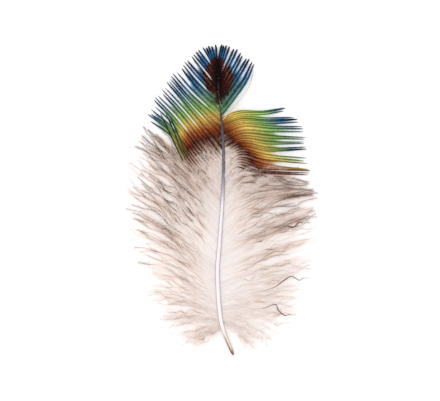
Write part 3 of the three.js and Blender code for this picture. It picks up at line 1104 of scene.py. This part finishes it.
@dataclass
class Vane(BarbField):
    """A closed, coloured vane whose barbs end in a comb of points.

    Attributes:
        loose: Barbs that have slipped out of their row.
        leftward: Whether the barbs run to the left of the shaft.
        web: Place up to which the vane is closed, along its first and its last barb.
        deep_slits: The spaces between barbs that hold a deep slit, each with the place where it opens.
        slit_reach: A barbule's length along a deep slit.
        closed_reach: A barbule's length over the space to the next barb, in the closed part.
        tooth: A barbule's length in the open comb.
        edge: A barbule's length on the outer side of the first and last barb.
        root_reach: How much longer the barbules are at the roots, where they close the space to the shaft.
        root_lean: How much further the barbules lean out at the roots.
        taper: Share of a barb over which its barbules shorten to the tip.
        girth: Radius of a barb's stem at its root.
        scatter: How far tips stray sideways.
        bunches: Places among the leads that the tips gather at.
        gather: How closely they gather.
        eye: The dark teardrop.
    """

    # Random spreads: of a barb's place over the space between barbs, of its length, height and tones,
    # of how far its tip lifts, of how much it gathers and of where a slit opens
    PLACE_SPREAD = 0.2
    STRETCH = (-0.02, 0.04)
    HEIGHT_SPREAD = (-0.08, 0.12)
    SHADE_SPREAD = 0.012
    TIP_LIFT = 0.5
    GATHER_SPREAD = (0.5, 1)
    SLIT_SPREAD = (-0.1, 0.14)
    # How late along a barb it gathers, and the clear space below its stem
    GATHER_POWER = 2.2
    FLOOR_GAP = 0.02
    # Share of a barbule's length in the pale root, the shade at which it is whole, and the least at the tip
    PALE_REACH = 0.2
    PALE_SHADE = 0.17
    TIP_REACH = 0.02
    # How much a stem thins along the barb, the share over which it ends and the thickness left there
    STEM_LOSS = 0.25
    STEM_END = 0.12
    STEM_TIP = 0.15
    # How much less barbules lean in the open comb, and the share of a barb over which the roots lean out
    OPEN_LEAN = 0.2
    LEAN_SHARE = 0.15
    # Share of a barb over which a slit opens and over which its root has longer barbules, and the longest
    SLIT_BLEND = 0.15
    ROOT_SHARE = 0.3
    LONGEST = 2.4

    loose: tuple[LooseBarb, ...] = ()
    leftward: bool = False
    web: tuple[float, float] = (0.4, 0.45)
    deep_slits: tuple[tuple[int, float], ...] = ()
    slit_reach: float = 0.42
    closed_reach: float = 1.6
    tooth: float = 0.86
    edge: float = 0.75
    root_reach: float = 0.8
    root_lean: float = 0.45
    taper: float = 0.22
    girth: float = 0.13
    scatter: float = 0.14
    bunches: tuple[float, ...] = (0.0,)
    gather: float = 0.0
    eye: EyeSpot = EyeSpot()

    def rows(self) -> BarbRows:
        """Lay the vane's barb lines with their colours and barbule lengths."""
        rng = np.random.default_rng(self.seed)
        last = len(self.leads) - 1
        places = np.linspace(0, last, self.count)
        places[1:-1] += rng.uniform(-self.PLACE_SPREAD, self.PLACE_SPREAD, self.count - 2) * last / self.count
        control = self.control_at(places)
        shades = self.shades_at(places)
        if self.loose:
            control = np.concatenate([control, [barb.points for barb in self.loose]])
            shades = np.concatenate([shades, [barb.shades for barb in self.loose]])
        count = len(control)
        stretch = 1 + rng.uniform(*self.STRETCH, count)
        control = control[:, :1] + (control - control[:, :1]) * np.stack([stretch] * 3, -1)[:, None]
        rows = BarbRows(self.lines_through(control))
        u = rows.along
        middles = np.array(self.bunches)
        bunch = np.abs(places[:, None] - middles).argmin(1)
        in_row = len(places)
        pull = self.gather * rng.uniform(*self.GATHER_SPREAD, (in_row, 1)) * u[:in_row]**self.GATHER_POWER
        goal = self.lines_through(self.control_at(middles))[bunch]
        rows.points[:in_row] += pull[..., None] * (goal - rows.points[:in_row])
        stray = rng.normal(0, self.scatter, (count, 1)) * u**2
        rows.points += rows.sideways() * stray[..., None]
        height = rng.uniform(*self.HEIGHT_SPREAD, (count, 1))
        rows.points[..., 2] += height + rng.uniform(0, self.TIP_LIFT, (count, 1)) * u**3
        rows.points[..., 2] = np.maximum(rows.points[..., 2], self.girth + self.FLOOR_GAP)
        rows.values = self.values(rows, places, shades, rng)
        return rows

    def values(self, rows: BarbRows, places: Array, shades: Array,
               rng: np.random.Generator) -> dict[str, Array]:
        """Work out what each point of the barbs carries.

        Args:
            rows: The barb lines.
            places: Place of each barb of the row among the leads.
            shades: Place along each barb at which each tone is reached.
            rng: The vane's random draws.

        Returns:
            Shade, eye, tone, reach, girth and fan.
        """
        count, steps = rows.points.shape[:2]
        u = rows.along
        tones = np.linspace(0, 1, len(Tone))
        shifted = shades + rng.normal(0, self.SHADE_SPREAD, (count, 1))
        shade = np.stack([np.interp(u[i], shifted[i], tones) for i in range(count)])
        in_row = len(places)
        upper, lower, opened = self.reaches(rows, in_row, rng)
        tone = rng.uniform(0, 1, (count, 1))
        tone[in_row:] = np.reshape([barb.tone for barb in self.loose], (-1, 1))
        shrink = np.clip(self.PALE_REACH + shade / self.PALE_SHADE, self.PALE_REACH, 1)
        shrink = shrink * np.sqrt(np.clip((1 - u) / self.taper, self.TIP_REACH, 1))
        girth = self.girth * (1 - self.STEM_LOSS * u) * np.clip((1 - u) / self.STEM_END, self.STEM_TIP, 1)
        at_root = np.clip(1 - u / self.LEAN_SHARE, 0, 1)
        return {
            "shade": shade,
            "eye": self.eye.depth(rows.points[..., 0], rows.points[..., 1]),
            "tone": np.broadcast_to(tone, (count, steps)),
            "reach_left": (lower if self.leftward else upper) * shrink * MM,
            "reach_right": (upper if self.leftward else lower) * shrink * MM,
            "girth": girth * MM,
            "fan": 1 - self.OPEN_LEAN * opened + self.root_lean * at_root,
        }

    def reaches(self, rows: BarbRows, in_row: int, rng: np.random.Generator) -> tuple[Array, Array, Array]:
        """Work out how long the barbules are on both sides of each barb.

        Between two neighbours they close the space up to the place where a slit opens, and stay short
        beyond it.

        Args:
            rows: The barb lines.
            in_row: Number of barbs in the row. The others are loose.
            rng: The vane's random draws.

        Returns:
            Lengths towards the barb above and the barb below, and how far each barb stands open.
        """
        count, steps = rows.points.shape[:2]
        u = rows.along
        line = rows.points[:in_row]
        run = unit(np.gradient(line, axis=1))
        step = np.diff(line, axis=0)
        space = np.linalg.norm(step - run[:-1] * (step * run[:-1]).sum(-1, keepdims=True), axis=-1)
        slit = np.linspace(*self.web, in_row - 1)[:, None] + rng.uniform(*self.SLIT_SPREAD, (in_row - 1, 1))
        comb = np.full((in_row - 1, 1), self.tooth)
        for space_index, place in self.deep_slits:
            slit[space_index] = place
            comb[space_index] = self.slit_reach
        opened = ease(np.clip((u[:in_row - 1] - slit) / self.SLIT_BLEND, 0, 1))
        at_root = np.clip(1 - u[:in_row - 1] / self.ROOT_SHARE, 0, 1)
        closed = self.closed_reach * (1 + self.root_reach * at_root)
        length = np.clip(closed * space, self.tooth, self.LONGEST) * (1 - opened) + comb * opened
        upper = np.full((count, steps), self.edge)
        upper[in_row:] = np.reshape([barb.reach for barb in self.loose], (-1, 1))
        lower = upper.copy()
        upper[1:in_row] = length
        lower[:in_row - 1] = length
        bare = np.ones((count, steps))
        bare[1:in_row - 1] = 0.5 * (opened[1:] + opened[:-1])
        return upper, lower, bare


@dataclass
class Down(BarbField):
    """A side of loose, waving down.

    Attributes:
        clumps: Number of tufts that the barbs gather in.
        reach: A barbule's length at its longest.
        girth: Radius of a barb's stem at its root.
        wave: How far a barb waves sideways.
        kink: How far a barb jumps to and fro.
        bend: How far a tip strays sideways.
        loft: How far barbs rise and sink between the shaft and their tips.
        dark: How dark the strokes along the barbs are.
        patches: Number of light and dark patches from top to bottom and along the barbs.
    """

    # Random spreads of lengths, over the leads': of the barbs and of the tufts
    LENGTHS = (0.76, 1.04)
    TUFT_LENGTHS = (0.93, 1.08)
    # How far barbs are drawn to their tuft, and how late
    PULL = (0.04, 0.34)
    PULL_POWER = 1.6
    # Waves along a barb and their strength, its kinks, and how soon they set in
    TURNS = (0.8, 2.6)
    WAVES = (0.2, 1)
    KINKS = 13
    KINK_RISE = 4
    # How early a barb's lift ends, the ripple of its height with its turns and phase over the wave's, and the
    # clear space below its stem
    LIFT_RUN = 1.15
    RIPPLE = 0.25
    RIPPLE_TURNS = 1.3
    RIPPLE_PHASE = 1.7
    FLOOR_GAP = 0.05
    # Where along a barb the leads' three shades hold, and how shades spread by tuft, barb and patch
    SHADE_PLACES = (0.15, 0.68, 1)
    TUFT_SHADES = (0.6, 1.3)
    STRAND_SHADES = (0.3, 1.5)
    PATCH_BASE = 0.3
    PATCH_SHARE = 1.3
    # Dark strokes: values drawn along a barb, the value at which one starts and the span to its full
    # darkness, and how far from the root they set in and over what span
    STROKES = 12
    STROKE_FROM = 0.55
    STROKE_BLEND = 0.25
    STROKE_ROOT = 0.15
    STROKE_RISE = 0.35
    # Barbules' length along a barb, as places and shares, and how it spreads
    SWELL = ((0, 0.12, 0.35, 0.8, 1), (0.35, 0.7, 1, 1, 0.5))
    REACHES = (0.5, 1.1)
    # How stems' thickness spreads, how much a dark stroke adds and how much is lost to the tip
    GIRTHS = (0.6, 1.4)
    STROKE_GIRTH = 1.6
    STEM_LOSS = 0.6

    clumps: int = 26
    reach: float = 1.9
    girth: float = 0.05
    wave: float = 0.55
    kink: float = 1.1
    bend: float = 0.9
    loft: float = 1.0
    dark: float = 1.5
    patches: tuple[int, int] = (34, 7)

    def rows(self) -> BarbRows:
        """Lay the down's barb lines with their shades and barbule lengths."""
        rng = np.random.default_rng(self.seed)
        last = len(self.leads) - 1
        count = self.count
        jitter = rng.uniform(-1, 1, count) * last / count
        places = np.clip(np.linspace(0, last, count) + jitter, 0, last)
        clump_places = np.sort(rng.uniform(0, last, self.clumps))
        clump = np.abs(places[:, None] - clump_places).argmin(1)
        rows = BarbRows(self.lines_through(self.shortened(places, rng.uniform(*self.LENGTHS, count))))
        tuft_lengths = rng.uniform(*self.TUFT_LENGTHS, self.clumps)
        tufts = self.lines_through(self.shortened(clump_places, tuft_lengths))
        u = rows.along
        pull = (rng.uniform(*self.PULL, (count, 1)) * u**self.PULL_POWER)[..., None]
        rows.points = rows.points * (1 - pull) + tufts[clump] * pull
        turns = rng.uniform(*self.TURNS, (count, 1))
        phase = rng.uniform(0, 2 * np.pi, (count, 1))
        wave = self.wave * rng.uniform(*self.WAVES, (count, 1)) * u * np.sin(2 * np.pi * turns * u + phase)
        wave += self.kink * (self.knotted(u, self.KINKS, rng) - 0.5) * np.minimum(self.KINK_RISE * u, 1)
        stray = self.bend * rng.normal(0, 1, (count, 1)) * u**2
        rows.points += rows.sideways() * (wave + stray)[..., None]
        lift = rng.uniform(-1, 1, (count, 1)) * self.loft * np.sin(np.pi * np.minimum(u * self.LIFT_RUN, 1))
        swing = 2 * np.pi * turns * self.RIPPLE_TURNS * u + phase * self.RIPPLE_PHASE
        height = rows.points[..., 2] + lift + self.RIPPLE * np.sin(swing) * u
        rows.points[..., 2] = np.maximum(height, self.girth + self.FLOOR_GAP)
        rows.values = self.values(rows, places, clump, rng)
        return rows

    def shortened(self, places: Array, lengths: Array) -> Array:
        """Give the control points at places, with each barb drawn in level to a share of its length."""
        control = self.control_at(places)
        return control[:, :1] + (control - control[:, :1]) * lengths[:, None, None] ** np.array([1, 1, 0.0])

    def values(self, rows: BarbRows, places: Array, clump: Array,
               rng: np.random.Generator) -> dict[str, Array]:
        """Work out what each point of the barbs carries.

        Args:
            rows: The barb lines.
            places: Place of each barb among the leads.
            clump: Tuft of each barb.
            rng: The down's random draws.

        Returns:
            Shade, tone, reach, girth and fan.
        """
        count, steps = rows.points.shape[:2]
        u = rows.along
        stops = self.shades_at(places)
        shade = np.stack([np.interp(u[i], self.SHADE_PLACES, stops[i]) for i in range(count)])
        tuft = rng.uniform(*self.TUFT_SHADES, self.clumps)[clump][:, None]
        strand = rng.uniform(*self.STRAND_SHADES, (count, 1))
        patch = self.patchy(places / (len(self.leads) - 1), u, rng)
        shade = shade * tuft * strand * (self.PATCH_BASE + self.PATCH_SHARE * patch)
        stroke = np.clip((self.knotted(u, self.STROKES, rng) - self.STROKE_FROM) / self.STROKE_BLEND, 0, 1)
        clear = np.clip((u - self.STROKE_ROOT) / self.STROKE_RISE, 0, 1)
        dark = stroke * self.dark * stops.max(1, keepdims=True) * clear * rng.uniform(0, 1, (count, 1))
        shade = np.clip(shade + dark, 0, 1)
        reach = self.reach * rng.uniform(*self.REACHES, (count, 1)) * np.interp(u, *self.SWELL)
        tone = rng.uniform(0, 1, (count, 1))
        stem = rng.uniform(*self.GIRTHS, (count, 1)) + self.STROKE_GIRTH * dark
        return {
            "shade": shade,
            "tone": np.broadcast_to(tone, (count, steps)),
            "reach_left": reach * MM,
            "reach_right": reach * MM,
            "girth": self.girth * stem * (1 - self.STEM_LOSS * u) * MM,
            "fan": np.ones((count, steps)),
        }

    @staticmethod
    def knotted(along: Array, knots: int, rng: np.random.Generator) -> Array:
        """Draw smooth random values along each barb.

        Args:
            along: Place along the barbs.
            knots: Number of values drawn for a barb.
            rng: The down's random draws.

        Returns:
            Values from 0 to 1, one row for each barb.
        """
        drawn = rng.uniform(0, 1, (len(along), knots))
        x = along * (knots - 1)
        j = np.minimum(x.astype(int), knots - 2)
        k = ease(x - j)
        return np.take_along_axis(drawn, j, 1) * (1 - k) + np.take_along_axis(drawn, j + 1, 1) * k

    def patchy(self, places: Array, along: Array, rng: np.random.Generator) -> Array:
        """Draw smooth patches over the barbs.

        Args:
            places: Place of each barb from the top to the bottom, 0 to 1.
            along: Place along the barbs.
            rng: The down's random draws.

        Returns:
            Values from 0 to 1, one row for each barb.
        """
        grid = rng.uniform(0, 1, self.patches)
        y = np.broadcast_to(places[:, None] * (self.patches[0] - 1), along.shape)
        x = along * (self.patches[1] - 1)
        i = np.minimum(y.astype(int), self.patches[0] - 2)
        j = np.minimum(x.astype(int), self.patches[1] - 2)
        t, k = y - i, x - j
        upper = grid[i, j] * (1 - k) + grid[i, j + 1] * k
        lower = grid[i + 1, j] * (1 - k) + grid[i + 1, j + 1] * k
        return upper * (1 - t) + lower * t


@dataclass
class StrayBarbs:
    """Three dark, crinkled barbs that stand clear of the down on the right.

    Attributes:
        name: The piece's name.
        girth: Radius at the thickest place.
        reach: A barbule's length at its longest.
        steps: Points along a barb.
        runs: Their points from root to tip.
        seed: Fixes every random draw.
        sizes: Values for the grower's inputs.
    """

    # Thickness, barbules' length and shade along a barb, as places and values
    GIRTHS = ((0, 0.25, 0.5, 0.8, 1), (0.2, 0.65, 1, 0.5, 0.2))
    REACHES = ((0, 0.5, 1), (1, 0.8, 0.4))
    SHADES = ((0, 0.2, 0.45, 0.8, 1), (0.12, 0.36, 0.7, 0.62, 0.48))

    name: str = "stray_barbs"
    girth: float = 0.13
    reach: float = 0.55
    steps: int = 60
    runs: tuple[tuple[tuple[float, float, float], ...], ...] = (
        ((9.0, -10.8, 2.2), (11.2, -9.6, 2.6), (14.0, -8.0, 2.5), (16.6, -6.7, 2.2), (18.7, -7.0, 1.9),
         (19.8, -5.9, 1.8), (20.8, -5.7, 1.6), (21.3, -6.2, 1.4), (22.9, -5.1, 1.2)),
        ((7.6, -24.7, 2.1), (10.1, -23.6, 2.5), (13.0, -22.8, 2.3), (14.8, -21.8, 2.0), (16.6, -20.5, 1.8),
         (18.3, -19.7, 1.6), (20.2, -20.7, 1.3), (21.3, -20.2, 1.1), (23.1, -20.2, 0.8)),
        ((6.4, -27.6, 1.9), (9.1, -28.0, 2.2), (11.2, -27.8, 2.1), (14.0, -26.9, 1.9), (14.8, -28.4, 1.6),
         (16.4, -29.8, 1.3), (17.7, -29.6, 1.1), (18.7, -29.8, 0.9), (19.5, -29.3, 0.8)),
    )
    seed: int = 71
    sizes: dict[str, float] = field(default_factory=lambda: {
        "Barbule Spacing": 0.14 * MM, "Barbule Width": 0.03 * MM, "Ramus Sides": 6,
        "Rise Spread": math.radians(40), "Shortest": 0.3, "Longest": 1.2,
    })

    def build(self, grower: BarbGrower, material: bpy.types.Material) -> bpy.types.Object:
        """Grow the strays and set them in the frame.

        Args:
            grower: The tree that grows barbs along lines.
            material: The barbs' material.

        Returns:
            The finished piece.
        """
        rows = BarbRows(np.stack([smooth_line(np.array(run), self.steps) for run in self.runs]))
        u = rows.along
        reach = self.reach * np.interp(u, *self.REACHES)
        rows.values = {
            "shade": np.interp(u, *self.SHADES),
            "tone": np.full(u.shape, BarbWash.PLAIN_TONE),
            "reach_left": reach * MM,
            "reach_right": reach * MM,
            "girth": self.girth * np.interp(u, *self.GIRTHS) * MM,
            "fan": np.ones(u.shape),
        }
        piece = grower.grow(self.name, rows, material, {**self.sizes, "Seed": self.seed})
        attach(piece, BODY)
        return piece


@dataclass
class Shaft:
    """The quill and the shaft above it.

    Attributes:
        name: The piece's name.
        node: The solid that it stands for.
        sides: Points round the shaft.
        steps: Rings along it.
        groove: Depth of the groove along its underside, over the radius.
        squareness: How square the section is.
    """

    # Angle of the groove round the shaft, its width, and its depth along the shaft as places and shares
    UNDERSIDE = 1.5 * np.pi
    GROOVE_WIDTH = 0.35
    GROOVE_RISE = ((0, 0.12, 0.2, 1), (0, 0, 1, 1))
    # Share of the shaft over which each end rounds off, and the least that is left there, squared
    QUILL_END = 0.012
    QUILL_LEFT = 0.15
    FINE_END = 0.02
    FINE_LEFT = 0.1
    CORNERS = 4

    name: str = "horn_shaft"
    node: str = "shaft"
    sides: int = 24
    steps: int = 160
    groove: float = 0.22
    squareness: float = 0.12

    def build(self, material: bpy.types.Material) -> bpy.types.Object:
        """Sweep the shaft and set it in the frame.

        Args:
            material: The horn.

        Returns:
            The finished piece.
        """
        control = np.column_stack([np.array(SHAFT_RUN), SHAFT_HEIGHTS, SHAFT_RADII])
        line = smooth_line(control, self.steps)
        u = np.linspace(0, 1, self.steps)
        run = unit(np.gradient(line[:, :3], axis=0))
        side = unit(np.column_stack([run[:, 1], -run[:, 0], np.zeros(self.steps)]))
        above = np.cross(side, run)
        turn = np.linspace(0, 2 * np.pi, self.sides, endpoint=False)
        section = 1 - self.squareness * np.cos(self.CORNERS * turn) / 2
        hollow = np.exp(-((turn - self.UNDERSIDE) / self.GROOVE_WIDTH) ** 2)
        grooved = np.interp(u, *self.GROOVE_RISE)[:, None]
        quill = np.sqrt(np.clip(u / self.QUILL_END, self.QUILL_LEFT, 1))
        fine = np.sqrt(np.clip((1 - u) / self.FINE_END, self.FINE_LEFT, 1))
        radius = (line[:, 3] * (quill * fine))[:, None] * section * (1 - self.groove * grooved * hollow)
        ring = side[:, None] * np.cos(turn)[:, None] + above[:, None] * np.sin(turn)[:, None]
        points = line[:, None, :3] + ring * radius[..., None]
        points[..., 2] = np.maximum(points[..., 2], 0)
        piece = self.skin(points * MM, u, turn, material)
        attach(piece, BODY)
        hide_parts(self.node)
        return piece

    def skin(self, points: Array, u: Array, turn: Array, material: bpy.types.Material) -> bpy.types.Object:
        """Close the rings into a mesh.

        Args:
            points: Rings of points in metres.
            u: Place of each ring along the shaft.
            turn: Angle of each point round the shaft.
            material: The horn.

        Returns:
            The object.
        """
        index = np.arange(points.shape[0] * points.shape[1]).reshape(points.shape[:2])
        after = np.roll(index, -1, axis=1)
        quads = np.stack([index[:-1], after[:-1], after[1:], index[1:]], axis=-1).reshape(-1, 4)
        faces = [tuple(quad) for quad in quads[:, ::-1].tolist()]
        faces.append(tuple(index[0].tolist()))
        faces.append(tuple(index[-1, ::-1].tolist()))
        mesh = bpy.data.meshes.new(self.name)
        mesh.from_pydata(points.reshape(-1, 3), [], faces)
        flank = np.broadcast_to(np.cos(turn), index.shape)
        carry(mesh, {"along": np.broadcast_to(u[:, None], index.shape), "flank": flank})
        mesh.materials.append(material)
        mesh.shade_smooth()
        return place_object(self.name, mesh)


@dataclass
class Studio:
    """The pale floor, the soft light and the camera above.

    Attributes:
        floor_size: Side of the floor.
        lens: Focal length of the camera, in millimetres.
        sensor: Width of the camera's sensor, in millimetres.
        middle: Point of the floor at the middle of the picture.
        glow: The floor's own light.
        sky: Strength of the sky.
        key: Power of the lamp.
    """

    WHITE = (1.0, 1.0, 1.0, 1)
    FLOOR_COLOUR = (0.5, 0.5, 0.5, 1)
    FLOOR_ROUGHNESS = 0.9
    # The lamp's width and place in metres, and its tilt about X and Y in degrees
    LAMP_SIZE = 0.35
    LAMP_PLACE = (-0.16, 0.14, 0.3)
    LAMP_TILT = (-25, -28)
    NEAREST = 0.01

    floor_size: float = 1600.0
    lens: float = 85.0
    sensor: float = 36.0
    middle: tuple[float, float] = (-0.26, -0.08)
    glow: float = 0.5
    sky: float = 0.95
    key: float = 0.45

    def build(self) -> None:
        """Set up the floor, light and camera."""
        self.lay_floor()
        self.light()
        self.aim()
        bpy.context.scene.view_settings.view_transform = "Standard"

    def lay_floor(self) -> None:
        """Lay the floor just below the feather."""
        half = self.floor_size / 2 * MM
        mesh = bpy.data.meshes.new("floor")
        corners = [(x * half, y * half, 0) for x, y in ((-1, -1), (1, -1), (1, 1), (-1, 1))]
        mesh.from_pydata(corners, [], [(0, 1, 2, 3)])
        material = bpy.data.materials.new("floor")
        material.use_nodes = True
        shader = material.node_tree.nodes["Principled BSDF"]
        shader.inputs["Base Color"].default_value = self.FLOOR_COLOUR
        shader.inputs["Roughness"].default_value = self.FLOOR_ROUGHNESS
        shader.inputs["Specular IOR Level"].default_value = 0.0
        shader.inputs["Emission Color"].default_value = self.WHITE
        shader.inputs["Emission Strength"].default_value = self.glow
        mesh.materials.append(material)
        floor = place_object("floor", mesh)

    def light(self) -> None:
        """Light the scene from a pale sky and one broad lamp at the upper left."""
        world = bpy.data.worlds.new("sky")
        world.use_nodes = True
        background = world.node_tree.nodes["Background"]
        background.inputs["Color"].default_value = self.WHITE
        background.inputs["Strength"].default_value = self.sky
        bpy.context.scene.world = world
        lamp = bpy.data.lights.new("key", "AREA")
        lamp.shape = "DISK"
        lamp.size = self.LAMP_SIZE
        lamp.energy = self.key
        key = place_object("key", lamp)
        key.location = self.LAMP_PLACE
        key.rotation_euler = (*map(math.radians, self.LAMP_TILT), 0)

    def aim(self) -> None:
        """Look straight down, so that the picture's frame covers its real width on the floor."""
        camera = bpy.data.cameras.new("camera")
        camera.lens = self.lens
        camera.sensor_width = self.sensor
        camera.clip_start = self.NEAREST
        height = PICTURE_WIDTH * MM_PER_PIXEL * self.lens / self.sensor
        stand = place_object("camera", camera)
        stand.location = (self.middle[0] * MM, self.middle[1] * MM, height * MM)
        bpy.context.scene.camera = stand


# The spaces between barbs that hold a deep slit, with the place where it opens, and where the tips gather
LEFT_SLITS = ((4, 0.3), (7, 0.12), (10, 0.2), (13, 0.2), (16, 0.25), (19, 0.35), (22, 0.4), (25, 0.5))
LEFT_BUNCHES = (0.3, 1.0, 1.6, 2.2, 2.9, 3.5, 4.1, 4.8, 5.5)
SIDE_SLITS = ((2, 0.48), (6, 0.62), (9, 0.6), (11, 0.65), (13, 0.62), (16, 0.6), (19, 0.64), (22, 0.6))
SIDE_BUNCHES = (0.4, 2.4, 4.0, 5.1, 6.2, 7.5, 9.0, 10.6, 11.6)

# What the grower is given for the coloured barbs and for the down
VANE_SIZES = {
    "Barbule Spacing": 0.085 * MM,
    "Barbule Width": 0.07 * MM,
    "Barbule Angle": math.radians(42),
    "Rise": math.radians(2),
    "Rise Spread": math.radians(7),
}
DOWN_SIZES = {
    "Barbule Spacing": 0.21 * MM,
    "Barbule Width": 0.034 * MM,
    "Barbule Angle": math.radians(42),
    "Angle Spread": math.radians(40),
    "Rise": math.radians(6),
    "Rise Spread": math.radians(38),
    "Shortest": 0.5,
    "Longest": 1.25,
    "Ramus Sides": 4,
}


def main() -> None:
    """Build the feather piece by piece, then its stage."""
    logging.basicConfig(level=logging.INFO, format="%(message)s")
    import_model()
    grower = BarbGrower()
    wash = BarbWash()
    iridescent = IridescentFinish().material(wash)
    downy = DownFinish().material(wash)
    vane = {"slot": Slot.IRIDESCENT, "steps": 40, "tip_height": 0.1, "crown": 0.3, "sizes": VANE_SIZES}
    down = {"slot": Slot.DOWN, "steps": 30, "tip_height": 0.4, "crown": 0.35, "sizes": DOWN_SIZES}
    fields = (
        Down("left_down_barbs", "left_down", leads=LEFT_DOWN_LEADS, count=176, seed=11, **down),
        Down("right_down_barbs", "right_down", leads=RIGHT_DOWN_LEADS, count=176, seed=12, **down),
        Vane("left_vane_barbs", "left_vane", leads=LEFT_VANE_LEADS, count=30, seed=21,
             loose=LEFT_VANE_LOOSE, leftward=True, web=(0.5, 0.72), deep_slits=LEFT_SLITS,
             bunches=LEFT_BUNCHES, gather=0.1, **vane),
        Vane("right_tip_barbs", "right_tip_vane", leads=RIGHT_TIP_LEADS, count=12, seed=22,
             loose=RIGHT_TIP_LOOSE, web=(0.12, 0.5), **vane),
        Vane("right_side_barbs", "right_side_vane", leads=RIGHT_SIDE_LEADS, count=25, seed=23,
             web=(0.55, 0.6), deep_slits=SIDE_SLITS, bunches=SIDE_BUNCHES, gather=0.55, **vane),
    )
    pieces = [Shaft().build(HornFinish().material())]
    for barbs in fields:
        pieces.append(barbs.build(grower, downy if barbs.slot is Slot.DOWN else iridescent))
    pieces.append(StrayBarbs().build(grower, downy))
    for piece in pieces:
        LOG.info("%s: %d faces", piece.name, len(piece.data.polygons))
    Studio().build()


if __name__ == "__main__":
    main()
